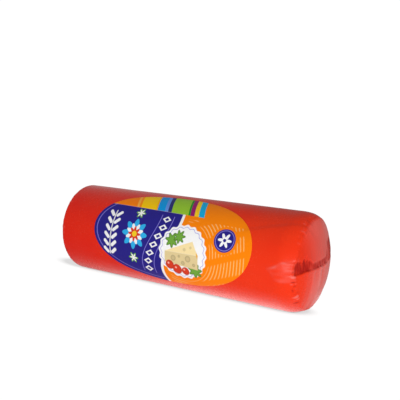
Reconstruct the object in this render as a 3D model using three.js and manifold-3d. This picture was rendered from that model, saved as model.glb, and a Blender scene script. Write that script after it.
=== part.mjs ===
// A salami-style cheese: a log of semi-hard cheese shut in tight red film, with one oval label on
// its front. The log lies along X with its near end at +X and its front at -Y, on a flattened
// strip of its underside. Millimetres, +Z up, origin on the floor under the middle of the log.
import * as THREE from "three";
import { mergeVertices } from "three/addons/utils/BufferGeometryUtils.js";
import Module from "manifold-3d";

const wasm = await Module();
wasm.setup();

// ---- Driving dimensions ----------------------------------------------------------------------
const bodyRadius = 42.5;
const logLength = 259;
const sidesAround = 72;
const restWidth = 12; // flat strip that the soft log has settled on
const axisHeight = Math.sqrt(bodyRadius ** 2 - (restWidth / 2) ** 2);

// Towards each end the body draws in over a shoulder down to a crease, and a dome closes it
// there: the near end is full and round, the far one nearly flat. `bulge` is the dome's power, 2
// for a parabola.
const nearEnd = { shoulder: 15.6, crease: 38, dome: 9.8, bulge: 2.2, steps: 7 };
const farEnd = { shoulder: 1.6, crease: 41.5, dome: 3.9, bulge: 2, steps: 5 };

// The far end isn't quite square to the log: it leans out at its top and at its back.
const farLean = { up: 0.03, back: 0.041, within: 20 };

// The film's heat seal: a narrow fold straight across each end, opening into a creased ear at
// both sides, where the tube of film was gathered in.
const seal = {
  height: 4.2, // above the log's axis
  reach: 36, // from the middle of the end to the tip of an ear
  thickness: 0.8,
  fold: 1.5, // half the height of the fold at the middle
  earRise: 6,
  earDrop: 3,
  steps: 12,
};

// The label is an oval of 166 x 91 mm, measured along the curve of the film.
const label = {
  halfLength: 83,
  halfWidth: 45.5,
  aboveFront: THREE.MathUtils.degToRad(21),
  tilt: THREE.MathUtils.degToRad(-1.3), // its near tip sits a little low
  gap: 0.15,
  thickness: 0.3,
  steps: 72,
};

// ---- Solids ----------------------------------------------------------------------------------
function toSolid(geometry) {
  const bare = geometry.clone();
  bare.deleteAttribute("normal");
  bare.deleteAttribute("uv");
  const merged = mergeVertices(bare, 1e-4);
  const corners = merged.index.array;
  const triangles = [];
  for (let i = 0; i < corners.length; i += 3) {
    const [a, b, c] = corners.slice(i, i + 3);
    if (a !== b && b !== c && c !== a) triangles.push(a, b, c);
  }
  return new wasm.Manifold(
    new wasm.Mesh({
      numProp: 3,
      vertProperties: merged.attributes.position.array,
      triVerts: new Uint32Array(triangles),
    }),
  );
}

function toGeometry(solid) {
  const mesh = solid.getMesh();
  const geometry = new THREE.BufferGeometry();
  geometry.setAttribute("position", new THREE.BufferAttribute(mesh.vertProperties, 3));
  geometry.setIndex(new THREE.BufferAttribute(mesh.triVerts, 1));
  geometry.computeVertexNormals();
  return geometry;
}

// A profile of (radius, place along X) turned about the log's axis.
function turned(profile) {
  const geometry = new THREE.LatheGeometry(profile, sidesAround);
  geometry.rotateZ(-Math.PI / 2);
  geometry.rotateX(Math.PI / sidesAround);
  geometry.translate(0, 0, axisHeight);
  return geometry;
}

// One end's outline from the axis out to the body: the dome, then the shoulder, which meets the
// body smoothly. `grown` is how far it stands outside the film's surface.
function endOutline(end, grown) {
  const tip = logLength / 2 + grown;
  const points = [];
  for (let i = 0; i <= end.steps; i++) {
    const share = i / end.steps;
    points.push([(end.crease + grown) * share, tip - end.dome * share ** end.bulge]);
  }
  for (let i = 1; i <= end.steps; i++) {
    const share = i / end.steps;
    const drawnIn = (bodyRadius - end.crease) * (1 - share) ** 2;
    points.push([bodyRadius + grown - drawnIn, tip - end.dome - end.shoulder * share]);
  }
  return points;
}

function leanFarEnd(geometry) {
  const places = geometry.attributes.position;
  for (let i = 0; i < places.count; i++) {
    if (places.getX(i) > farLean.within - logLength / 2) continue;
    const above = places.getZ(i) - axisHeight;
    const outwards = farLean.up * above + farLean.back * places.getY(i);
    places.setX(i, places.getX(i) - outwards);
  }
}

function logSolid(grown = 0) {
  const near = endOutline(nearEnd, grown).map(([r, x]) => new THREE.Vector2(r, x));
  const far = endOutline(farEnd, grown).map(([r, x]) => new THREE.Vector2(r, -x));
  const geometry = turned([...far, ...near.reverse()]);
  leanFarEnd(geometry);
  return toSolid(geometry);
}

// The seal's outline on an end face: a bow tie lying on its side, (across, up).
function sealOutline() {
  const upper = [];
  const lower = [];
  for (let i = -seal.steps; i <= seal.steps; i++) {
    const share = i / seal.steps;
    const across = seal.reach * share;
    upper.push([across, seal.height + seal.fold + (seal.earRise - seal.fold) * share ** 2]);
    lower.push([across, seal.height - seal.fold - (seal.earDrop - seal.fold) * share ** 2]);
  }
  return new THREE.Shape([...lower, ...upper.reverse()].map(([y, z]) => new THREE.Vector2(y, z)));
}

// The stretch of raised film that the bow tie marks out on one end (+1 near, -1 far).
function sealSolid(side) {
  const depth = nearEnd.shoulder + nearEnd.dome + seal.thickness;
  const prism = new THREE.ExtrudeGeometry(sealOutline(), { depth, bevelEnabled: false });
  prism.rotateX(Math.PI / 2);
  prism.rotateZ(Math.PI / 2);
  const outside = logLength / 2 + 2 * seal.thickness;
  prism.translate(side > 0 ? outside - depth : -outside, 0, axisHeight);
  return logSolid(seal.thickness).intersect(toSolid(prism));
}

function restSlab() {
  const size = 2 * logLength;
  const slab = new THREE.BoxGeometry(size, size, size);
  slab.translate(0, 0, size / 2);
  return toSolid(slab);
}

function wrappedLog() {
  return logSolid().add(sealSolid(1)).add(sealSolid(-1)).intersect(restSlab());
}

function labelSolid() {
  const inner = bodyRadius + label.gap;
  const outer = inner + label.thickness;
  const half = label.halfLength + 5;
  const ring = turned(
    [
      [inner, -half],
      [outer, -half],
      [outer, half],
      [inner, half],
      [inner, -half],
    ].map(([r, x]) => new THREE.Vector2(r, x)),
  );
  const outline = [];
  for (let i = 0; i < label.steps; i++) {
    const turn = (2 * Math.PI * i) / label.steps;
    const place = new THREE.Vector2(
      label.halfLength * Math.cos(turn),
      label.halfWidth * Math.sin(turn),
    );
    place.rotateAround(new THREE.Vector2(), label.tilt);
    outline.push(new THREE.Vector2(place.x, outer * Math.sin(place.y / bodyRadius)));
  }
  const prism = new THREE.ExtrudeGeometry(new THREE.Shape(outline), {
    depth: 2 * bodyRadius,
    bevelEnabled: false,
  });
  prism.rotateX(Math.PI / 2 - label.aboveFront);
  prism.translate(0, 0, axisHeight);
  return toSolid(ring).intersect(toSolid(prism));
}

// ---- The object ------------------------------------------------------------------------------
function piece(name, solid, finish) {
  const mesh = new THREE.Mesh(toGeometry(solid), new THREE.MeshStandardMaterial(finish));
  mesh.name = name;
  return mesh;
}

const salamiCheese = new THREE.Group();
salamiCheese.add(
  piece("wrapped_log", wrappedLog(), { color: 0xd9301a, roughness: 0.28, metalness: 0 }),
  piece("oval_label", labelSolid(), { color: 0x2a2480, roughness: 0.4, metalness: 0 }),
);

export default salamiCheese;
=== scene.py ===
"""A log of salami-style cheese in tight red film with an oval printed label, on a plain pale stage.

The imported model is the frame. Its two pieces are stood in for by finer ones of the same form: the
film with its swells, heat seals, creased ears and gathers, and the label with its print.
"""

import math

import bpy
import numpy as np
from bpy.props import FloatProperty, FloatVectorProperty, IntProperty, PointerProperty
from mathutils import Matrix, Vector, noise


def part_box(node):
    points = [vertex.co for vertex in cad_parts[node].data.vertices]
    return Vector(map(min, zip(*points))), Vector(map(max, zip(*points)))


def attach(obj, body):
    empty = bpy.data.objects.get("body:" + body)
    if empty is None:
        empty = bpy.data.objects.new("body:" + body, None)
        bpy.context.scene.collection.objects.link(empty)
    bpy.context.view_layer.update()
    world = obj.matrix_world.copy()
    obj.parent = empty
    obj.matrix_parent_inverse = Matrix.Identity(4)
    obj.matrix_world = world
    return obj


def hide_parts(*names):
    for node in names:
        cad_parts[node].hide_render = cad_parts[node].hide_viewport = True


bl_info = {
    "name": "Film-wrapped cheese log",
    "version": (1, 0, 0),
    "blender": (4, 5, 0),
    "location": "3D Viewport > Sidebar > Cheese",
    "description": "Makes a cheese log in red film with an oval label, and a plain stage for it",
    "category": "Add Mesh",
}

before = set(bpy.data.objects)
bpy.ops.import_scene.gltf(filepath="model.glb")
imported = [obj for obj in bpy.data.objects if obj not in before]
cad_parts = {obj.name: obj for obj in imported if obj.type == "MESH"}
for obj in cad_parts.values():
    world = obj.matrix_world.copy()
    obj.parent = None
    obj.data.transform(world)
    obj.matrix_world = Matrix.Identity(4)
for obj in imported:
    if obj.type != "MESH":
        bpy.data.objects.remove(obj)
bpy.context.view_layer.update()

MM = 0.001
LOG_LOW, LOG_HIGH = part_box("wrapped_log")
LOG_RADIUS = (LOG_HIGH.y - LOG_LOW.y) / 2
AXIS_HEIGHT = LOG_HIGH.z - LOG_RADIUS
SEAL_STANDS = 0.9 * MM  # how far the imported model's folded seals stand past the ends
HALF_LOG = (LOG_HIGH.x - LOG_LOW.x) / 2 - SEAL_STANDS


# ---- Sizes and colours a user would change -----------------------------------------------------
def length(name, description, millimetres):
    """A size property in metres, from a default in millimetres."""
    return FloatProperty(
        name=name, description=description, default=millimetres * MM, unit="LENGTH", precision=5
    )


def number(name, description, value, high=1.0):
    """A plain number from 0 up to a limit."""
    return FloatProperty(name=name, description=description, default=value, min=0, max=high)


def angle(name, description, degrees):
    """An angle property in radians, from a default in degrees."""
    return FloatProperty(
        name=name, description=description, default=math.radians(degrees), unit="ROTATION"
    )


def power(name, description, watts):
    """A light's power."""
    return FloatProperty(name=name, description=description, default=watts, unit="POWER")


def colour(name, description, red, green, blue):
    """A colour property, from its linear red, green and blue."""
    return FloatVectorProperty(
        name=name,
        description=description,
        default=(red, green, blue),
        subtype="COLOR",
        size=3,
        min=0,
        max=1,
    )


class FilmLook(bpy.types.PropertyGroup):
    """The wrapped log: its ends, seals and unevenness, and the colours of its film."""

    near_shoulder: length("Near shoulder", "Length over which the near end draws in", 15.6)
    near_crease: length("Near crease", "Radius of the crease round the near dome", 38)
    near_dome: length("Near dome", "Height of the dome inside the near crease", 9.8)
    near_bulge: number("Near bulge", "Power of the near dome, 2 for a parabola", 2.2, 9)
    far_shoulder: length("Far shoulder", "Length over which the far end draws in", 1.6)
    far_crease: length("Far crease", "Radius of the crease round the far dome", 41.5)
    far_dome: length("Far dome", "Height of the dome inside the far crease", 3.9)
    far_bulge: number("Far bulge", "Power of the far dome, 2 for a parabola", 2, 9)
    lean_up: number("Lean up", "How far the far end leans out at its top, for its height", 0.03)
    lean_back: number("Lean back", "How far it leans out at its back, for its width", 0.041)
    seal_height: length("Seal height", "Height of the seal above the log's axis", 4.2)
    seal_fold: length("Seal fold", "Half the height of the fold along the seal", 2.3)
    seal_depth: length("Seal depth", "Depth of the fold along the seal", 0.7)
    ear_depth: length("Ear depth", "What the fold gains in depth at an ear", 1.0)
    ear_rise: length("Ear rise", "How far the broader ear reaches up over the seal", 12)
    lip: length("Lip", "How far the film below the seal stands proud", 0.7)
    flap: length("Flap", "Height of an ear's flap, folded back on the body", 0.4)
    gather: length("Gather", "Depth of the gathers round a crease", 0.4)
    swell: length("Swell", "How far the soft cheese swells in and out under the film", 0.35)
    settle: length("Settle", "Depth of the flatter patch on top near the near end", 0.6)
    crown: length("Crown", "How far the near shoulder stands proud at its top", 1.2)
    sides: IntProperty(name="Sides", description="Faces around the log", default=360, min=24)
    # Deep red to bright red runs from the far end to the near end: painted light from the key
    # softbox there, with random patches.
    deep_red: colour("Deep red", "Film where it lies close on the cheese", 0.76, 0.012, 0.002)
    bright_red: colour("Bright red", "Film where it is drawn thin", 0.80, 0.034, 0.006)
    # Loose red: hazy loose film, and also the painted reflection on the near cap and painted
    # glints.
    haze_and_sheen_red: colour("Loose red", "Hazy film where it lies loose", 0.80, 0.17, 0.145)
    # Folded red: doubled film, and also painted shade in the seal's fold and in the gathers'
    # hollows.
    folded_and_shade_red: colour("Folded red", "Film where it lies doubled", 0.38, 0.008, 0.003)
    gloss: number("Roughness", "Roughness of the film", 0.26)


class LabelLook(bpy.types.PropertyGroup):
    """The oval label: its size, its place and the colours of its print."""

    half_length: length("Half length", "Half the label's length along the log", 83)
    half_width: length("Half width", "Half its width, measured round the log", 45.5)
    above_front: angle("Turn", "Turn of its middle from the front towards the top", 21)
    tilt: angle("Tilt", "Turn of the label on the film", -1.3)
    lift: length("Lift", "Height of its face over the film", 0.3)
    edge_lift: length("Edge lift", "Height of its back over the film", 0.1)
    navy: colour("Navy", "Left-hand field", 0.022, 0.017, 0.23)
    orange: colour("Orange", "Right-hand field", 0.95, 0.23, 0.002)
    lilac: colour("Lilac", "Thin lines on the navy field", 0.25, 0.22, 0.72)
    sky: colour("Sky", "Flower on the navy field", 0.03, 0.42, 0.80)
    white: colour("White", "Ornament and the plate behind the cheese", 0.92, 0.92, 0.92)
    cream: colour("Cream", "Top of the pictured cheese", 0.92, 0.74, 0.38)
    leaf: colour("Leaf", "Leaves in the print", 0.16, 0.38, 0.05)
    red: colour("Red", "Flower hearts and round fruit in the print", 0.68, 0.05, 0.02)
    gloss: number("Roughness", "Roughness of the printed face", 0.4)


class StageLook(bpy.types.PropertyGroup):
    """The floor, the soft lights and the camera."""

    floor: colour("Floor", "Plain pale floor", 0.80, 0.80, 0.80)
    seen_floor: number("Seen floor", "White that the floor shows by itself", 1.0, 9)
    shadow: number("Shadow", "Depth of the soft shadow at the log's foot", 0.49)
    contact: number("Contact", "Depth of the thin dark line where the log touches", 0.4)
    contact_reach: length("Contact reach", "Height of the gap that the dark line fills", 1)
    floor_glow: number("Floor glow", "Light that the bright floor sends up by itself", 0.15)
    floor_shine: number("Floor shine", "How bright the floor is in the film's reflection", 1.7, 9)
    backdrop: number("Backdrop", "Brightness of the walls as they show behind the log", 1.05, 9)
    surroundings: number("Surroundings", "Brightness of the walls as they light the log", 0.46, 9)
    dimmed: number("Dimmed", "What the walls lose of that in the film's reflection", 0.19, 9)
    far_wall: number("Far wall", "What the wall past the far end gains in the reflection", 0.4, 9)
    key_power: power("Key power", "Power of the low softbox beside the near end", 3.4)
    turn: angle("Turn", "Camera's turn round the log from its front", 32.155)
    tilt: angle("Tilt", "Camera's height angle over the floor", 11.494)
    distance: length("Distance", "From the middle of the log, along the view", 559.3)


# ---- Shader arithmetic -------------------------------------------------------------------------
class Wire:
    """An output socket that takes part in arithmetic: each step adds one Math node."""

    def __init__(self, tree, socket):
        self.tree = tree
        self.socket = socket

    def math(self, operation, *others, clamp=False):
        """The Math node of that name on this value and the others."""
        settings = {"operation": operation, "use_clamp": clamp}
        return self.tree.node("ShaderNodeMath", settings, dict(enumerate([self, *others])))

    def __add__(self, other):
        return self.math("ADD", other)

    __radd__ = __add__

    def __sub__(self, other):
        return self.math("SUBTRACT", other)

    def __rsub__(self, other):
        return self.tree.node("ShaderNodeMath", {"operation": "SUBTRACT"}, {0: other, 1: self})

    def __mul__(self, other):
        return self.math("MULTIPLY", other)

    __rmul__ = __mul__

    def __truediv__(self, other):
        return self.math("DIVIDE", other)

    def __abs__(self):
        return self.math("ABSOLUTE")

    def __mod__(self, other):
        return self.math("FLOORED_MODULO", other)

    def clamped(self):
        """The value kept between 0 and 1."""
        return self.math("ADD", 0, clamp=True)


class Tree:
    """A node tree in the making and the ways to add to it."""

    def __init__(self, owner):
        owner.use_nodes = True
        self.owner = owner
        self.nodes = owner.node_tree.nodes
        self.links = owner.node_tree.links
        self.nodes.clear()

    def node(self, kind, settings=None, inputs=None, output=0):
        """Adds a node, makes its settings, fills its sockets, and gives one of its outputs."""
        made = self.nodes.new(kind)
        for name, value in (settings or {}).items():
            if name == "stops":
                self.set_stops(made.color_ramp.elements, value)
            elif name == "interpolation":
                made.color_ramp.interpolation = value
            else:
                setattr(made, name, value)
        for socket, value in (inputs or {}).items():
            if isinstance(value, Wire):
                self.links.new(value.socket, made.inputs[socket])
            elif made.inputs[socket].type == "RGBA":
                made.inputs[socket].default_value = (*value[:3], 1)
            else:
                made.inputs[socket].default_value = value
        return Wire(self, made.outputs[output]) if made.outputs else None

    @staticmethod
    def set_stops(elements, stops):
        """Gives a colour ramp its stops, each a place and a colour."""
        while len(elements) < len(stops):
            elements.new(1)
        for element, (place, tint) in zip(elements, stops):
            element.position = place
            element.color = (*tint, 1)

    def vector(self, operation, *others, output=0):
        """A Vector Math node; LENGTH, DISTANCE and DOT_PRODUCT give their number by "Value"."""
        settings = {"operation": operation}
        return self.node("ShaderNodeVectorMath", settings, dict(enumerate(others)), output)

    def paint(self, below, tint, mask):
        """The colour below with a tint laid over it where the mask is 1."""
        inputs = {0: mask, 6: below, 7: tint}  # a colour Mix's own sockets: factor, A and B
        return self.node("ShaderNodeMix", {"data_type": "RGBA"}, inputs, 2)

    def place(self):
        """The place on the object, measured from its origin."""
        return self.node("ShaderNodeTexCoord", output="Object")

    def attribute(self, name, output="Fac"):
        """What the mesh holds under that name: its value, or its "Vector"."""
        return self.node("ShaderNodeAttribute", {"attribute_name": name}, output=output)

    def part(self, place, axis):
        """One coordinate of a place: "X", "Y" or "Z"."""
        return self.node("ShaderNodeSeparateXYZ", None, {"Vector": place}, axis)

    def ray(self, kind):
        """1 where the light is traced for that kind of ray: "Camera", "Diffuse" or "Glossy"."""
        return self.node("ShaderNodeLightPath", output=f"Is {kind} Ray")

    def cloud(self, scale, detail=2, stretch=(1, 1, 1)):
        """Noise over the object from 0 to 1, stretched along its axes."""
        place = self.place()
        if stretch != (1, 1, 1):
            place = self.vector("MULTIPLY", place, stretch)
        inputs = {"Vector": place, "Scale": scale, "Detail": detail}
        return self.node("ShaderNodeTexNoise", None, inputs)

    def finished(self, **sockets):
        """Ends a material in one Principled BSDF and returns it."""
        named = {name.replace("_", " "): value for name, value in sockets.items()}
        surface = self.node("ShaderNodeBsdfPrincipled", None, named)
        self.node("ShaderNodeOutputMaterial", None, {"Surface": surface})
        return self.owner


# ---- Meshes ------------------------------------------------------------------------------------
def smooth(low, high, value):
    """Smooth step of an array from 0 at low to 1 at high."""
    t = np.clip((value - low) / (high - low), 0, 1)
    return t * t * (3 - 2 * t)


def bell(value, middle, width):
    """A bell curve of height 1 around a middle."""
    return np.exp(-(((value - middle) / width) ** 2))


def noise_at(points, scale, seed, stretch=(1, 1, 1)):
    """Perlin noise from about -1 to 1 at each point, for waves of about that scale.

    A stretch below 1 draws the waves out along its axis.
    """
    offset = Vector((seed * 17.3, seed * 5.1, seed * 11.7))
    flat = (points * np.array(stretch)).reshape(-1, 3) / scale
    values = [noise.noise(Vector(p) + offset) for p in flat.tolist()]
    return np.array(values).reshape(points.shape[:-1])


def mesh_piece(name, rows, material):
    """A piece from rows of points, each a closed loop, capped at both ends by a single point."""
    count, around = rows.shape[:2]
    points = np.vstack([rows.reshape(-1, 3), rows[0].mean(axis=0), rows[-1].mean(axis=0)])
    i, j = np.meshgrid(np.arange(count - 1), np.arange(around), indexing="ij")
    k = (j + 1) % around
    below, above = i * around, (i + 1) * around
    quads = np.stack([below + j, below + k, above + k, above + j], -1)
    faces = quads.reshape(-1, 4).tolist()
    start, end = count * around, count * around + 1
    last_row = (count - 1) * around
    for here in range(around):
        after = (here + 1) % around
        faces.append((start, after, here))
        faces.append((end, last_row + here, last_row + after))
    mesh = bpy.data.meshes.new(name)
    mesh.from_pydata(points.tolist(), [], faces)
    mesh.polygons.foreach_set("use_smooth", [True] * len(mesh.polygons))
    mesh.materials.append(material)
    mesh.update()
    piece = bpy.data.objects.new(name, mesh)
    bpy.context.scene.collection.objects.link(piece)
    return piece


def add_values(piece, name, values):
    """Gives each point of a piece a value or a vector, and its two end points their row's mean."""
    single = values.ndim == 2
    flat = values.reshape(-1) if single else values.reshape(-1, values.shape[-1])
    ends = np.stack([values[0].mean(axis=0), values[-1].mean(axis=0)])
    flat = np.concatenate([flat, ends]).astype(np.float32)
    kind, field = ("FLOAT", "value") if single else ("FLOAT_VECTOR", "vector")
    layer = piece.data.attributes.new(name, kind, "POINT")
    layer.data.foreach_set(field, flat.reshape(-1))


DOME_ROWS, SHOULDER_ROWS = 80, 60
FINE_STEP, COARSE_STEP = 0.66 * MM, 2.4 * MM  # between the rows at the ends and along the body


def end_outline(dome, shoulder, crease, bulge):
    """(radius, place along X) from an end's middle to the body: a dome, then a shoulder."""
    share_in = np.linspace(0.01, 1, DOME_ROWS)
    dome_points = np.stack([crease * share_in, HALF_LOG - dome * share_in**bulge], -1)
    share_on = np.linspace(0, 1, SHOULDER_ROWS)[1:]
    drawn_in = (LOG_RADIUS - crease) * (1 - share_on) ** 2
    shoulder_points = np.stack(
        [LOG_RADIUS - drawn_in, HALF_LOG - dome - shoulder * share_on], -1
    )
    return np.vstack([dome_points, shoulder_points])


def evenly(outline, fine, coarse):
    """The outline again with steps of `fine` at its ends and `coarse` along the body."""
    steps = np.linalg.norm(np.diff(outline, axis=0), axis=1)
    travelled = np.concatenate([[0], np.cumsum(steps)])
    total = travelled[-1]
    end_run = 1.7 * LOG_RADIUS
    places = [0.0]
    while places[-1] < total - fine:
        from_end = min(places[-1], total - places[-1])
        easing = min(max((from_end - end_run) / end_run, 0), 1)
        places.append(places[-1] + fine + (coarse - fine) * easing)
    places[-1] = total
    even = np.stack([np.interp(places, travelled, outline[:, c]) for c in (0, 1)], -1)
    even[1:-1] = (even[:-2] + 2 * even[1:-1] + even[2:]) / 4
    return even


# The flatter patch on top, in degrees round from the front: its front edge at a place along the
# log, in millimetres, how that edge slants for each millimetre, and its back edge.
PATCH_FRONT, PATCH_PLACE, PATCH_SLANT = 52, 95, 0.45
PATCH_BACK = 94


def body_height(points, look):
    """How far the film stands off a true cylinder at points measured from the log's axis."""
    broad = noise_at(points, 45 * MM, 1, (0.6, 1, 1))
    fine = noise_at(points, 14 * MM, 2, (0.45, 1, 1))
    height = look.swell * (0.5 + broad + 0.18 * fine)
    x = points[..., 0]
    upward = np.degrees(np.arctan2(points[..., 2], -points[..., 1]))
    front = PATCH_FRONT + PATCH_SLANT * (x / MM - PATCH_PLACE)
    patch = smooth(front - 2, front + 6, upward)
    patch *= smooth(PATCH_BACK + 12, PATCH_BACK - 12, upward)
    height -= look.settle * patch * smooth(40 * MM, 80 * MM, x)
    height += look.crown * bell(HALF_LOG - x, 13 * MM, 7 * MM) * bell(upward, 95, 32)
    for side, seed in ((1, 14), (-1, 34)):
        run_in = HALF_LOG - side * x
        drawn = smooth(8 * MM, 20 * MM, run_in) * smooth(62 * MM, 24 * MM, run_in)
        level = bell(points[..., 2], look.seal_height, 22 * MM)
        folds = noise_at(points, 9 * MM, seed, (0.15, 1, 1))
        height += 0.7 * look.swell * folds * drawn * level
    return height


def outside_polygon(across, up, corners):
    """Distance outside a convex polygon whose corners go round anticlockwise."""
    distance = np.full_like(across, -1.0)
    for (x0, y0), (x1, y1) in zip(corners, corners[1:] + corners[:1]):
        run = math.hypot(x1 - x0, y1 - y0)
        edge = ((across - x0 * MM) * (y1 - y0) - (up - y0 * MM) * (x1 - x0)) / run
        distance = np.maximum(distance, edge)
    return distance


# Corners of an ear's flap on the body, in millimetres: in from the tip of the end, and up round
# the body from the level of the log's axis.
FLAP_CORNERS = [(7, -9), (26.4, -5.8), (33, 4.9), (21.8, 9.2), (7, 16.5)]


def flap_relief(run_in, up_round, look, seed):
    """Height of an ear's flap on the body, and how loose its film lies, with a painted glint along
    its upper rim.
    """
    spot = np.stack([run_in, up_round, np.full_like(run_in, seed * MM)], -1)
    wander = 1.2 * MM * noise_at(spot, 9 * MM, seed)
    distance = outside_polygon(run_in, up_round, FLAP_CORNERS) + wander
    inside = smooth(0.7 * MM, -2.5 * MM, distance)
    creases = noise_at(spot, 5 * MM, seed + 1, (0.5, 1.6, 1))
    height = look.flap * inside * (0.8 + 0.9 * creases)
    # Painted highlight: glints along the flap's upper rim.
    rim_glint = bell(distance, -0.9 * MM, 1.1 * MM) * smooth(0, 6 * MM, up_round)
    rim_glint *= 0.15 + 0.7 * smooth(0.1, 0.5, creases)
    loose = inside * (0.12 + 0.25 * creases) + rim_glint
    loose *= smooth(36 * MM, 18 * MM, run_in)
    return height, loose.clip(0, 1)


# Places across an end, from its middle towards the broad ear: where each ear opens out of the
# fold and where it is fully open, and where the broad one's tip begins and is at its darkest.
NARROW_EAR = (-17 * MM, -25 * MM)
BROAD_EAR = (3 * MM, 13 * MM)
EAR_TIP = (8 * MM, 20 * MM)
NARROW_RISE = 0.35  # how high the narrow ear reaches, for the broad one's height
SEAL_WANDER = 0.8 * MM  # how far the seal strays from a straight line
STREAK_DEPTH, PLEAT_DEPTH = 0.30 * MM, 0.40 * MM
VEIL = 0.17  # darkening of the cap over the seal


def seal_relief(across, up, look, seed):
    """Height of the seal's fold and ears on an end, how doubled the film is with painted shade in
    the fold, and how loose it is with painted reflection.
    """
    spot = np.stack([across, up, np.full_like(across, seed * MM)], -1)
    above = up - look.seal_height - SEAL_WANDER * noise_at(spot, 11 * MM, seed)
    streaks = noise_at(spot, 3.4 * MM, seed + 1, (1, 0.14, 1))
    pleats = noise_at(spot, 1.9 * MM, seed + 2, (1, 0.2, 1))
    narrow_ear = smooth(*NARROW_EAR, across)
    broad_ear = smooth(*BROAD_EAR, across)
    tip = smooth(*EAR_TIP, across)
    foot = -look.seal_fold - 1.8 * MM * smooth(-27 * MM, -35 * MM, across)
    narrow_top = NARROW_RISE * narrow_ear * (1 + 0.5 * pleats)
    broad_top = broad_ear * (1 + 0.12 * pleats)
    top = look.seal_fold + look.ear_rise * (narrow_top + broad_top)
    fold = smooth(foot - 0.9 * MM, foot, above) * smooth(top + 1.6 * MM, top - 1.4 * MM, above)
    lip = bell(above, foot - 1.6 * MM, 1.4 * MM)
    lip *= smooth(14 * MM, 2 * MM, across) * smooth(-36 * MM, -26 * MM, across)
    depth = look.seal_depth * (1 - broad_ear) + look.ear_depth * narrow_ear
    height = look.lip * lip - depth * fold
    height += STREAK_DEPTH * streaks * bell(above.clip(0, None), 0, 11 * MM)
    height += PLEAT_DEPTH * pleats * bell(above, 0, 9 * MM)
    # Painted shade: the fold darkens, partly for doubled film, partly for the shade in its groove.
    layers_and_shade = 0.7 + 0.2 * narrow_ear - 0.25 * broad_ear + 0.35 * tip
    doubled = np.clip(fold * (layers_and_shade + 0.7 * pleats * (1 - 0.3 * tip)), 0, 1)
    doubled = np.maximum(doubled, VEIL * bell(above, 8 * MM, 12 * MM))
    # Painted reflection: the near cap's pale pink stands partly for the mirrored surroundings,
    # partly for loose hazy film.
    haze_and_sheen = smooth(-32 * MM, 0, across)
    below = smooth(1 * MM, -2 * MM, above)
    loose = haze_and_sheen * (0.54 + below * (0.42 + 0.8 * streaks)) * (1 - 0.8 * tip * fold)
    return height, doubled, np.clip(loose, 0, 1)


GATHERED_TURN = math.radians(-22)  # where the gathers are sure to show, below the front


def crease_gathers(points, turn, seed):
    """Short creases, about -1 to 1, that the shrunk film has kept across the round crease."""
    ring = np.stack([np.cos(turn), np.sin(turn), 0 * turn], -1)
    strands = noise_at(ring, 0.05, seed)
    folds = noise_at(points, 3.5 * MM, seed + 1)
    patches = smooth(-0.35, 0.15, noise_at(points, 16 * MM, seed + 2))
    patches = np.maximum(patches, 0.6 * smooth(0.8, 0.95, np.cos(turn - GATHERED_TURN)))
    return 0.6 * (strands + folds) * patches


CROWDING = 0.22  # how much closer the columns stand at the front and back, where the ears are
LEAN_REACH = (45 * MM, 20 * MM)  # from the far end: where its lean starts, and is whole


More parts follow.
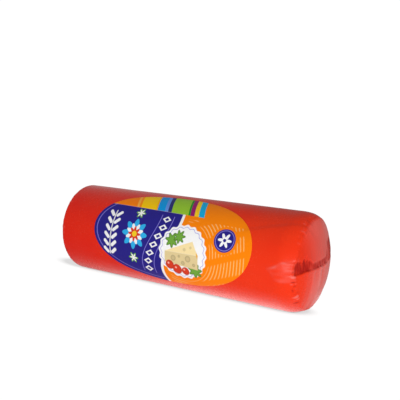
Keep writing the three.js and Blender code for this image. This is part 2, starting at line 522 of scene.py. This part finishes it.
def log_rows(look):
    """The film's surface as loops from the near end to the far one, its doubled film with painted
    shade, and its loose film with painted reflection and glints.
    """
    near = end_outline(look.near_dome, look.near_shoulder, look.near_crease, look.near_bulge)
    far = end_outline(look.far_dome, look.far_shoulder, look.far_crease, look.far_bulge)
    far[:, 1] *= -1
    outline = evenly(np.vstack([near, far[::-1]]), FINE_STEP, COARSE_STEP)
    around = np.linspace(0, 2 * math.pi, look.sides, endpoint=False)
    turn = around - CROWDING * np.sin(2 * around)
    tangent = np.gradient(outline, axis=0)
    tangent /= np.linalg.norm(tangent, axis=1, keepdims=True)
    cosine, sine = -np.cos(turn), np.sin(turn)

    def placed(r, x):
        return np.stack([x + 0 * cosine, r * cosine, r * sine + 0 * x], -1)

    points = placed(outline[:, :1], outline[:, 1:])
    normals = placed(-tangent[:, 1:], tangent[:, :1])
    radius = np.repeat(outline[:, :1], look.sides, axis=1)
    turns = np.repeat(turn[None, :], len(outline), axis=0)
    height = body_height(points, look) * smooth(0.5, 0.95, radius / LOG_RADIUS)
    doubled = np.zeros(height.shape)
    loose = np.zeros(height.shape)
    creases = {1: (look.near_crease, look.near_dome), -1: (look.far_crease, look.far_dome)}
    for side, seed in ((1, 3), (-1, 23)):
        crease, dome = creases[side]
        run_in = HALF_LOG - side * points[..., 0]
        from_crease = np.where(run_in < dome, crease - radius, dome - run_in)
        on_end = smooth(-2.2 * MM, 1.2 * MM, from_crease)
        relief, layers_and_shade, haze_and_sheen = seal_relief(points[..., 1] * side, points[..., 2], look, seed)
        height += relief * on_end
        ragged = from_crease + 1.6 * MM * noise_at(points, 4 * MM, seed + 6)
        doubled = np.maximum(doubled, layers_and_shade * smooth(-1 * MM, 1.4 * MM, ragged))
        loose = np.maximum(loose, haze_and_sheen * smooth(-1 * MM, 2.5 * MM, from_crease))
        flap_sides = (1, -1) if side == 1 else ()  # at front and back, and at the near end alone
        for front in flap_sides:
            up_round = np.arctan2(points[..., 2], -front * points[..., 1]) * LOG_RADIUS
            flap, flap_haze_and_glint = flap_relief(run_in, up_round, look, seed + 40 + front)
            height += flap * (1 - on_end)
            loose = np.maximum(loose, flap_haze_and_glint * smooth(2 * MM, -1 * MM, from_crease))
        folds = crease_gathers(points, turns, seed + 7) * bell(from_crease, -0.5 * MM, 3.2 * MM)
        height += look.gather * folds
        # Painted shade in the gathers' hollows and painted glints on their ridges, stronger low on
        # the end.
        strength = 0.3 + 0.7 * smooth(10 * MM, -2 * MM, points[..., 2])
        doubled = np.maximum(doubled, strength * (-5 * folds - 0.35).clip(0, 0.75))
        loose = np.maximum(loose, strength * (5 * folds - 0.35).clip(0, 0.8))
    points = points + normals * height[..., None]
    leaning = smooth(*LEAN_REACH, HALF_LOG + points[..., 0])
    outwards = look.lean_up * points[..., 2] + look.lean_back * points[..., 1]
    points[..., 0] -= leaning * outwards
    points[..., 2] = np.maximum(points[..., 2] + AXIS_HEIGHT, 0)
    return points, doubled, loose


INNER_ROWS, EDGE_ROWS, LABEL_SIDES = 60, 5, 288


def label_rows(look, film):
    """The label's face and back as loops, with each point's place on the print in millimetres."""
    inner = np.linspace(0.012, 0.97, INNER_ROWS)
    share_out = np.concatenate([inner, np.linspace(0.98, 1, EDGE_ROWS)])
    both = np.concatenate([share_out, share_out[::-1]])
    rounded = 0.5 * (look.lift + look.edge_lift)
    face = np.where(share_out > 0.995, rounded, look.lift)
    lift = np.concatenate([face, np.full(len(share_out), look.edge_lift)])
    turn = np.linspace(0, 2 * math.pi, LABEL_SIDES, endpoint=False)
    u = look.half_length * both[:, None] * np.cos(turn)
    v = look.half_width * both[:, None] * np.sin(turn)
    along = u * math.cos(look.tilt) - v * math.sin(look.tilt)
    up_round = u * math.sin(look.tilt) + v * math.cos(look.tilt)
    theta = look.above_front + up_round / LOG_RADIUS
    bare = np.stack([along, -LOG_RADIUS * np.cos(theta), LOG_RADIUS * np.sin(theta)], -1)
    radius = LOG_RADIUS + body_height(bare, film) + lift[:, None]
    points = np.stack(
        [along, -radius * np.cos(theta), radius * np.sin(theta) + AXIS_HEIGHT], -1
    )
    return points[:, ::-1], np.stack([u, v, 0 * u], -1)[:, ::-1] / MM


# ---- Finishes ----------------------------------------------------------------------------------
FILM_SHINE, LABEL_SHINE = 0.14, 0.06  # how strongly each surface mirrors, face on
FADE_LENGTH = 260 * MM  # over which the film's colour brightens towards the near end: painted light from the key softbox there


def darker(tint, share):
    """A colour at a share of its brightness."""
    return [share * part for part in tint]


def red_film(look):
    """Tight glossy film: painted brighter towards the lit near end, hazy or painted with sheen
    where loose, dark where doubled or painted with shade.
    """
    film = Tree(bpy.data.materials.new("red_film"))
    patches = film.cloud(22, 3)
    grain = film.cloud(420, 4)
    doubled = film.attribute("doubled")
    loose = film.attribute("loose")
    along = film.part(film.place(), "X")
    # Painted light: the colour brightens from the far end to the near end, where the key softbox
    # stands, with random patches.
    lit_end_and_patches = (along / FADE_LENGTH + 1.4 * patches - 0.15).clamped()
    base = film.paint(look.deep_red, look.bright_red, lit_end_and_patches)
    # Pale pink for loose film, partly painted reflection and painted glints.
    haze_and_sheen = loose * (0.8 + 0.4 * film.cloud(90, 3))
    base = film.paint(base, look.haze_and_sheen_red, haze_and_sheen.clamped())
    # Dark red for doubled film, partly painted shade in folds and creases.
    base = film.paint(base, look.folded_and_shade_red, doubled)
    roughness = look.gloss + 0.10 * (grain - 0.5) + 0.08 * (patches - 0.5)
    roughness = roughness + 0.08 * loose + 0.4 * doubled
    ripple = film.cloud(150, 5, (0.6, 1, 1))
    bump = film.node(
        "ShaderNodeBump", None, {"Strength": 0.16, "Distance": 0.6 * MM, "Height": ripple}
    )
    return film.finished(
        Base_Color=base, Roughness=roughness, Normal=bump, Specular_IOR_Level=FILM_SHINE, IOR=1.5
    )


# Places and sizes on the print are in millimetres: u along the label and v up it, from its middle.
BAND_FOOT = 22.8
STRIPE_SLANT = 0.37
RAMP_FROM, RAMP_TO = -90.0, 35.0

# Where each slanted stripe of the band starts along its foot, and its colour.
STRIPES = (
    (-90.0, (0.97, 0.22, 0.001)),
    (-43.8, (0.97, 0.43, 0.06)),
    (-41.4, (0.97, 0.26, 0.003)),
    (-39.2, (0.97, 0.60, 0.001)),
    (-21.6, (0.95, 0.30, 0.008)),
    (-20.6, (0.002, 0.32, 0.76)),
    (-11.9, (0.13, 0.29, 0.78)),
    (-8.6, (0.025, 0.03, 0.18)),
    (-4.6, (0.31, 0.58, 0.035)),
    (13.2, (0.02, 0.30, 0.02)),
    (15.4, (0.32, 0.012, 0.16)),
    (19.6, (0.95, 0.62, 0.015)),
    (24.0, (0.005, 0.42, 0.74)),
    (30.0, (0.95, 0.23, 0.002)),
)


class Print:
    """The label's print in the making."""

    def __init__(self, tree):
        self.tree = tree
        self.place = tree.attribute("print_place", "Vector")
        self.u, self.v = self.parts(self.place)
        self.ink = None

    def parts(self, place):
        """The first two coordinates of a place."""
        return [self.tree.part(place, axis) for axis in "XY"]

    def lay(self, tint, mask):
        """Lays a tint over what is printed so far."""
        self.ink = self.tree.paint(self.ink, tint, mask)

    @staticmethod
    def within(distance, soft=0.25):
        """1 where a distance is below zero, with a soft edge."""
        return distance.math("MULTIPLY_ADD", -0.5 / soft, 0.5, clamp=True)

    def away(self, u, v):
        """Distance from a point."""
        return self.tree.vector("DISTANCE", self.place, (u, v, 0), output="Value")

    def turned(self, u, v, degrees):
        """The place measured from a point, in axes turned by an angle."""
        moved = self.tree.vector("SUBTRACT", self.place, (u, v, 0))
        inputs = {"Vector": moved, "Angle": math.radians(-degrees)}
        return self.tree.node("ShaderNodeVectorRotate", {"rotation_type": "Z_AXIS"}, inputs)

    def rosette(self, u, v, degrees, radius, depth, lobes):
        """Distance outside a round shape with lobes."""
        place = self.turned(u, v, degrees)
        x, y = self.parts(place)
        waves = (y.math("ARCTAN2", x) * lobes).math("COSINE")
        return self.tree.vector("LENGTH", place, output="Value") - (waves * depth + radius)

    def polygon(self, corners):
        """Distance outside a convex polygon whose corners go round anticlockwise."""
        distance = None
        for (u0, v0), (u1, v1) in zip(corners, corners[1:] + corners[:1]):
            run = math.hypot(u1 - u0, v1 - v0)
            outward = ((v1 - v0) / run, (u0 - u1) / run, 0)
            reach = u0 * outward[0] + v0 * outward[1]
            edge = self.tree.vector("DOT_PRODUCT", self.place, outward, output="Value") - reach
            distance = edge if distance is None else distance.math("MAXIMUM", edge)
        return distance

    def wave(self, along, size, pitch, shift):
        """A sine of that size along a coordinate."""
        return (along * (2 * math.pi / pitch) + shift).math("SINE") * size


FIELD_EDGE = 2.0  # where the navy field meets the orange one
EDGE_SWING, EDGE_PITCH = 7.0, 92  # of the wave that the edge between them follows
EDGE_LINE = 2.6  # width of the white curve along it


def navy_edge(sheet):
    """Distance to the right of the navy field's curved edge."""
    return sheet.u - sheet.wave(sheet.v, EDGE_SWING, EDGE_PITCH, 0.5) - FIELD_EDGE


def print_fields(sheet, look):
    """The band of stripes, and below it the navy and orange fields with a white curve between."""
    u, v = sheet.u, sheet.v
    slanted = u + (v - BAND_FOOT) * STRIPE_SLANT
    span = RAMP_TO - RAMP_FROM
    stops = [((start - RAMP_FROM) / span, tint) for start, tint in STRIPES]
    settings = {"stops": stops, "interpolation": "CONSTANT"}
    sheet.ink = sheet.tree.node("ShaderNodeValToRGB", settings, {0: (slanted - RAMP_FROM) / span})
    below_band = sheet.within(v - BAND_FOOT)
    edge = navy_edge(sheet)
    sheet.lay(look.orange, below_band)
    sheet.lay(look.white, below_band * sheet.within(edge - EDGE_LINE))
    sheet.lay(look.navy, below_band * sheet.within(edge))


SPRIG = (-62.0, -5.0)
SPRIG_REACH, STEM = 21, 0.5  # half its height, and half the width of its stem
LEAF_PITCH, LEAF_LEAN = 7, math.radians(42)
LEAF_AWAY, LEAF_REACH, LEAF_ROUND = 4.2, 2.4, 1.5  # from the stem, half its spine, its radius


def print_sprig(sheet, look):
    """A white sprig with paired leaves, up the left of the navy field."""
    aside = abs(sheet.u - SPRIG[0])
    up = sheet.v - SPRIG[1]
    in_reach = sheet.within(abs(up) - SPRIG_REACH)
    sheet.lay(look.white, in_reach * sheet.within(aside - STEM))
    rise = (up + SPRIG_REACH) % LEAF_PITCH - LEAF_PITCH / 2
    away = aside - LEAF_AWAY
    along = away * math.cos(LEAF_LEAN) + rise * math.sin(LEAF_LEAN)
    across = rise * math.cos(LEAF_LEAN) - away * math.sin(LEAF_LEAN)
    beyond = (abs(along) - LEAF_REACH).math("MAXIMUM", 0)
    leaf = (beyond * beyond + across * across).math("SQRT") - LEAF_ROUND
    sheet.lay(look.white, in_reach * sheet.within(leaf))


FLOWER = (-35.0, -3.0)
SMALL_FLOWERS = (-25.0, 17.0)  # their heights, in line with the large one
GOLD = (0.92, 0.62, 0.02)
STRING_AWAY = 14  # from the navy field's edge to the string of lozenges
STRING_MIDDLE, STRING_REACH, LOZENGE_PITCH = -9, 28, 8
LINE_AWAY, LINE = 6.5, 0.28  # of the thin lines beside the string, and half their width


def print_flowers(sheet, look):
    """A large flower on the navy field with two small ones, and a string of lozenges."""
    for degrees, radius, depth, tint in (
        (0, 11.2, 2.6, look.sky),
        (22.5, 7.6, 2.0, look.white),
        (0, 5.4, 1.5, look.red),
    ):
        sheet.lay(tint, sheet.within(sheet.rosette(*FLOWER, degrees, radius, depth, 8)))
    sheet.lay(GOLD, sheet.within(sheet.away(*FLOWER) - 2.6))
    for height in SMALL_FLOWERS:
        small = sheet.rosette(FLOWER[0], height, 0, 3.4, 1.3, 6)
        sheet.lay(look.leaf, sheet.within(small - 0.6))
        sheet.lay(look.white, sheet.within(small + 0.8))
    column = navy_edge(sheet) + STRING_AWAY
    up = sheet.v - STRING_MIDDLE
    in_column = sheet.within(abs(up) - STRING_REACH)
    cell = (up + STRING_REACH) % LOZENGE_PITCH - LOZENGE_PITCH / 2
    lozenge = abs(column) * 0.7 + abs(cell)
    sheet.lay(look.white, in_column * sheet.within(abs(lozenge - 2.4) - 0.75))
    for shift in (-LINE_AWAY, LINE_AWAY):
        sheet.lay(look.lilac, in_column * sheet.within(abs(column + shift) - LINE))


BORDER = (79.5, 42.0)  # half the length and width of the oval that the thin line follows
BORDER_MEAN = 60


def print_border(sheet, look):
    """A thin lilac line that follows the label's edge round the navy field."""
    inner = sheet.tree.vector("DIVIDE", sheet.place, (*BORDER, 1))
    ring = sheet.tree.vector("LENGTH", inner, output="Value") * BORDER_MEAN - BORDER_MEAN
    inside_field = sheet.within(sheet.v - BAND_FOOT) * sheet.within(navy_edge(sheet))
    sheet.lay(look.lilac, inside_field * sheet.within(abs(ring) - 0.3))


PLATE = (18.0, -11.0)
PLATE_RADIUS = 24.0

# On the plate, from its middle: the leaves with their turn and size, the wedge's corners, the
# holes in its side and its top with their radius, and the round fruit with theirs.
LEAVES = ((-12, 9, 20, 5.6), (-5, 13, 60, 5.0), (13, -14, 10, 6.0))
TIP, RIGHT, BACK = (-18, -1), (16, 0), (9, 11)
TIP_FOOT, RIGHT_FOOT = (-18, -11), (16, -13)
RIND_INSIDE = ((7.6, 10.6), (14.2, -0.2), (14.2, -13))
SIDE_HOLES = ((-9, -6, 2.6), (1, -9, 1.9), (6, -4.5, 2.8), (-3, -3.6, 1.2), (12, -9, 1.5))
TOP_HOLES = ((2, 3, 1.5), (8, 5.5, 1.2))
FRUIT = ((-13, -13, 4.4), (-5.5, -16, 4.8), (3, -16.5, 3.9))
RIND = (0.80, 0.42, 0.06)
FRUIT_SHINE = (0.95, 0.55, 0.45)


def print_plate(sheet, look):
    """A white plate with a wedge of holed cheese, leaves and small round fruit."""
    u0, v0 = PLATE
    plate = sheet.rosette(u0, v0, 0, PLATE_RADIUS, 0.7, 20)
    sheet.lay(look.white, sheet.within(plate))
    sheet.lay(look.lilac, sheet.within(abs(plate + 2.2) - 0.25))
    for u, v, turn, size in LEAVES:
        leaf = sheet.rosette(u0 + u, v0 + v, turn, size, 1.3, 7)
        sheet.lay(darker(look.leaf, 0.55), sheet.within(leaf, 0.4))
        sheet.lay(look.leaf, sheet.within(leaf + 1.3, 0.8))

    def shape(*corners):
        return sheet.polygon([(u0 + u, v0 + v) for u, v in corners])

    top = shape(TIP, RIGHT, BACK)
    side = shape(TIP_FOOT, RIGHT_FOOT, RIGHT, TIP)
    rind = shape(RIGHT_FOOT, RIGHT, BACK, *RIND_INSIDE)
    sheet.lay(darker(look.cream, 0.80), sheet.within(side, 0.3))
    for u, v, radius in SIDE_HOLES:
        hole = sheet.away(u0 + u, v0 + v) - radius
        sheet.lay(darker(look.cream, 0.52), sheet.within(hole))
        sheet.lay(darker(look.cream, 0.66), sheet.within(hole + 0.9, 0.6))
    sheet.lay(look.cream, sheet.within(top))
    for u, v, radius in TOP_HOLES:
        sheet.lay(darker(look.cream, 0.78), sheet.within(sheet.away(u0 + u, v0 + v) - radius))
    sheet.lay(RIND, sheet.within(rind))
    for u, v, radius in FRUIT:
        fruit = sheet.away(u0 + u, v0 + v) - radius
        sheet.lay(darker(look.red, 0.75), sheet.within(fruit, 0.3))
        sheet.lay(look.red, sheet.within(fruit + 0.9, 0.5))
        shine = sheet.away(u0 + u - 1.2, v0 + v + 1.4) - 0.8
        sheet.lay(FRUIT_SHINE, sheet.within(shine, 0.5))


RIPPLES_FROM, RIPPLES_TO, RIPPLE_PITCH = 27.5, 61, 2.9  # measured out from the plate's middle
RIPPLE = 0.38  # half the width of one
PALE_ORANGE = (0.98, 0.55, 0.19)
BADGE = (57.0, 6.0)


def print_ripples(sheet, look):
    """Fine pale ripples round the plate on the orange field, and a navy badge with a flower."""
    far = sheet.away(*PLATE)
    ripple = abs(far % RIPPLE_PITCH - RIPPLE_PITCH / 2) - RIPPLE
    in_ring = sheet.within(RIPPLES_FROM - far) * sheet.within(far - RIPPLES_TO)
    on_orange = sheet.within(sheet.v - 19) * sheet.within(8 - navy_edge(sheet))
    broken = sheet.within(sheet.wave(sheet.v - 0.4 * sheet.u, 3.0, 19, 0.0) - 1.6, 0.6)
    lines = sheet.within(ripple, 0.3) * in_ring * on_orange * broken
    sheet.lay(PALE_ORANGE, lines * 0.85)
    badge = sheet.away(*BADGE)
    sheet.lay(look.orange, sheet.within(badge - 12.2))
    sheet.lay(look.navy, sheet.within(badge - 10))
    sheet.lay(look.lilac, sheet.within(abs(badge - 8.6) - 0.3))
    sheet.lay(look.white, sheet.within(sheet.rosette(*BADGE, 0, 4.6, 1.9, 6)))
    sheet.lay(look.navy, sheet.within(badge - 1.5))


def printed_label(look):
    """Satin printed film: fields of colour and plain shapes, with a faint grain in its gloss."""
    tree = Tree(bpy.data.materials.new("printed_label"))
    sheet = Print(tree)
    print_fields(sheet, look)
    print_ripples(sheet, look)
    print_border(sheet, look)
    print_sprig(sheet, look)
    print_flowers(sheet, look)
    print_plate(sheet, look)
    grain = tree.cloud(500, 3)
    roughness = look.gloss + 0.12 * (grain - 0.5)
    bump = tree.node(
        "ShaderNodeBump", None, {"Strength": 0.08, "Distance": 0.3 * MM, "Height": grain}
    )
    return tree.finished(
        Base_Color=sheet.ink, Roughness=roughness, Normal=bump, Specular_IOR_Level=LABEL_SHINE
    )


def ramped(value, low, high):
    """A wire's value as a straight ramp from 0 at low to 1 at high."""
    return ((value - low) / (high - low)).clamped()


def grey(value):
    """A colour with that much of red, green and blue."""
    return [value] * 3


# The foot's shadow on the floor, in millimetres: where it starts to fade past each end, over what
# length, and its middle and half its width across the log. Then how fast it deepens inwards, and
# where that stops.
FOOT_NEAR, NEAR_FADE = 94, 39
FOOT_FAR, FAR_FADE = -130, 52
FOOT_MIDDLE, SIDE_FADE = -2, 17
FOOT_SLOPE, FOOT_CAP = 1.9, 0.8


def foot_shadow(along, across):
    """The soft shadow at the log's foot, from 1 to 0: it reaches out furthest at the far end."""
    past_near = (along / MM - FOOT_NEAR) / NEAR_FADE
    past_far = (FOOT_FAR - along / MM) / FAR_FADE
    past = past_near.math("MAXIMUM", past_far).math("MAXIMUM", 0)
    aside = (across / MM - FOOT_MIDDLE) / SIDE_FADE
    inside = (1 - (past * past + aside * aside).math("SQRT")).clamped()
    fade = (FOOT_SLOPE * inside).math("MINIMUM", FOOT_CAP)
    return fade * fade


SEEN_TINT = 0.07  # grey of the floor as the camera sees it, under its own white
PLAIN_SHINE = 0.15  # how bright the floor is in the film's reflection away from its bright strips
STRIP_AWAY = 26 * MM  # from under the log's axis to the middle of the bright strip on each side
STRIP_FAR = (-160 * MM, 40 * MM)  # along the log: where the strips start, and are whole
STRIP_NEAR = (135 * MM, 105 * MM)  # where they end, and are whole


def pale_floor(look):
    """A plain matt floor that shows clear white, with a short soft shadow at the log's foot."""
    floor = Tree(bpy.data.materials.new("pale_floor"))
    seen, lighting, mirrored = [floor.ray(kind) for kind in ("Camera", "Diffuse", "Glossy")]
    tint = floor.paint(look.floor, darker(look.floor, 0.97), floor.cloud(3))
    tint = floor.paint(tint, grey(SEEN_TINT), seen)
    place = floor.place()
    along, across = floor.part(place, "X"), floor.part(place, "Y")
    inputs = {"Distance": look.contact_reach}
    # Painted contact shadow: the floor's white dims where the log comes close.
    contact = 1 - floor.node("ShaderNodeAmbientOcclusion", {"samples": 16}, inputs, "AO")
    shown = (1 - look.contact * contact - look.shadow * foot_shadow(along, across)).clamped()
    bright = (1 - abs(abs(across) / STRIP_AWAY - 1)).clamped()
    bright = bright * ramped(along, *STRIP_FAR) * ramped(along, *STRIP_NEAR)
    glow = floor.paint(grey(0), grey(look.floor_glow), lighting)
    glow = floor.paint(glow, grey(PLAIN_SHINE), mirrored)
    glow = floor.paint(glow, grey(PLAIN_SHINE + look.floor_shine), mirrored * bright)
    glow = floor.paint(glow, grey(look.seen_floor), seen * shown)
    return floor.finished(
        Base_Color=tint, Roughness=1, Specular_IOR_Level=0, Emission_Color=glow, Emission_Strength=1
    )


# ---- Operators ---------------------------------------------------------------------------------
class CHEESE_OT_wrapped_log(bpy.types.Operator):
    """Make the cheese log in its red film, with the seals, ears and gathers of its ends"""

    bl_idname = "cheese.wrapped_log"
    bl_label = "Wrapped log"

    def execute(self, context):
        look = context.scene.cheese_film
        rows, doubled, loose = log_rows(look)
        piece = mesh_piece("wrapped_cheese_log", rows, red_film(look))
        add_values(piece, "doubled", doubled)
        add_values(piece, "loose", loose)
        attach(piece, "root")
        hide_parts("wrapped_log")
        return {"FINISHED"}


class CHEESE_OT_oval_label(bpy.types.Operator):
    """Make the oval printed label on the front of the log"""

    bl_idname = "cheese.oval_label"
    bl_label = "Oval label"

    def execute(self, context):
        look = context.scene.cheese_label
        rows, places = label_rows(look, context.scene.cheese_film)
        piece = mesh_piece("printed_oval_label", rows, printed_label(look))
        add_values(piece, "print_place", places)
        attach(piece, "root")
        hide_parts("oval_label")
        return {"FINISHED"}


KEY_PLACE, KEY_SIZE = (0.44, -0.58, 0.08), (0.7, 0.15)
FLOOR_REACH = 6  # metres, each way
FAR_WALL = (-0.42, -0.65)  # X of a direction: where the far wall begins, and is brightest

# The camera: the photo's side, the focal length and the log's middle in its pixels, and the
# sensor's width in millimetres.
PHOTO_SIDE = 400
FOCAL_PIXELS = 600
LOG_MIDDLE_PIXEL = (191.64, 243.14)
SENSOR = 36


class CHEESE_OT_stage(bpy.types.Operator):
    """Make the pale floor, the soft lights and the camera"""

    bl_idname = "cheese.stage"
    bl_label = "Stage"

    def execute(self, context):
        look = context.scene.cheese_stage
        self.floor(context.scene, look)
        self.surroundings(context.scene, look)
        self.softbox(context.scene, "key_softbox", KEY_PLACE, KEY_SIZE, look.key_power)
        self.camera(context.scene, look)
        context.scene.view_settings.view_transform = "Standard"
        return {"FINISHED"}

    @staticmethod
    def floor(scene, look):
        """A large flat floor under the log."""
        reach = FLOOR_REACH
        mesh = bpy.data.meshes.new("floor")
        corners = [(-reach, -reach, 0), (reach, -reach, 0), (reach, reach, 0), (-reach, reach, 0)]
        mesh.from_pydata(corners, [], [(0, 1, 2, 3)])
        mesh.materials.append(pale_floor(look))
        floor = bpy.data.objects.new("floor", mesh)
        scene.collection.objects.link(floor)

    @staticmethod
    def surroundings(scene, look):
        """Pale walls: white behind the log, and dimmer as they light it or show in its film."""
        world = bpy.data.worlds.new("surroundings")
        scene.world = world
        walls = Tree(world)
        seen, mirrored = walls.ray("Camera"), walls.ray("Glossy")
        dimmer = look.surroundings - look.dimmed
        white = walls.paint(grey(look.surroundings), grey(dimmer), mirrored)
        direction = walls.node("ShaderNodeTexCoord", output="Generated")
        past_far_end = mirrored * ramped(walls.part(direction, "X"), *FAR_WALL)
        white = walls.paint(white, grey(dimmer + look.far_wall), past_far_end)
        white = walls.paint(white, grey(look.backdrop), seen)
        backdrop = walls.node("ShaderNodeBackground", None, {"Color": white})
        walls.node("ShaderNodeOutputWorld", None, {"Surface": backdrop})

    @staticmethod
    def softbox(scene, name, place, size, watts):
        """A wide area light that faces the log."""
        light = bpy.data.lights.new(name, "AREA")
        light.shape = "RECTANGLE"
        light.size, light.size_y = size
        light.energy = watts
        box = bpy.data.objects.new(name, light)
        box.location = place
        towards = Vector((0, 0, AXIS_HEIGHT)) - Vector(place)
        box.rotation_euler = towards.to_track_quat("-Z", "Y").to_euler()
        scene.collection.objects.link(box)

    @staticmethod
    def camera(scene, look):
        """The camera at the photo's angle, placed so that the log lies where it does there."""
        back = Vector((
            math.sin(look.turn) * math.cos(look.tilt),
            -math.cos(look.turn) * math.cos(look.tilt),
            math.sin(look.tilt),
        ))
        right = Vector((math.cos(look.turn), math.sin(look.turn), 0))
        up = back.cross(right)
        scale = look.distance / FOCAL_PIXELS
        aside = (LOG_MIDDLE_PIXEL[0] - PHOTO_SIDE / 2) * scale
        above = (PHOTO_SIDE / 2 - LOG_MIDDLE_PIXEL[1]) * scale
        middle = Vector((0, 0, AXIS_HEIGHT))
        data = bpy.data.cameras.new("camera")
        data.sensor_width = SENSOR
        data.lens = SENSOR * FOCAL_PIXELS / PHOTO_SIDE
        camera = bpy.data.objects.new("camera", data)
        place = middle + back * look.distance - right * aside - up * above
        turn = Matrix((right, up, back)).transposed()
        camera.matrix_world = Matrix.Translation(place) @ turn.to_4x4()
        scene.collection.objects.link(camera)
        scene.camera = camera


class CHEESE_PT_panel(bpy.types.Panel):
    """Lists the pieces of the cheese log in the sidebar"""

    bl_label = "Cheese log"
    bl_idname = "CHEESE_PT_panel"
    bl_space_type = "VIEW_3D"
    bl_region_type = "UI"
    bl_category = "Cheese"

    def draw(self, context):
        for operator in OPERATORS:
            self.layout.operator(operator.bl_idname)
        for group in GROUPS:
            look = getattr(context.scene, group)
            box = self.layout.box()
            for name in look.bl_rna.properties.keys():
                if name not in ("rna_type", "name"):
                    box.prop(look, name)


OPERATORS = (CHEESE_OT_stage, CHEESE_OT_wrapped_log, CHEESE_OT_oval_label)
GROUPS = {"cheese_film": FilmLook, "cheese_label": LabelLook, "cheese_stage": StageLook}


def register():
    """Registers the classes and puts the property groups on the scene."""
    for kind in (*GROUPS.values(), *OPERATORS, CHEESE_PT_panel):
        bpy.utils.register_class(kind)
    for name, kind in GROUPS.items():
        setattr(bpy.types.Scene, name, PointerProperty(type=kind))


def unregister():
    """Takes the property groups and the classes away again."""
    for name in GROUPS:
        delattr(bpy.types.Scene, name)
    for kind in (CHEESE_PT_panel, *OPERATORS, *GROUPS.values()):
        bpy.utils.unregister_class(kind)


def main():
    """Makes the stage and both pieces."""
    register()
    bpy.ops.cheese.stage()
    bpy.ops.cheese.wrapped_log()
    bpy.ops.cheese.oval_label()


if __name__ == "__main__":
    main()
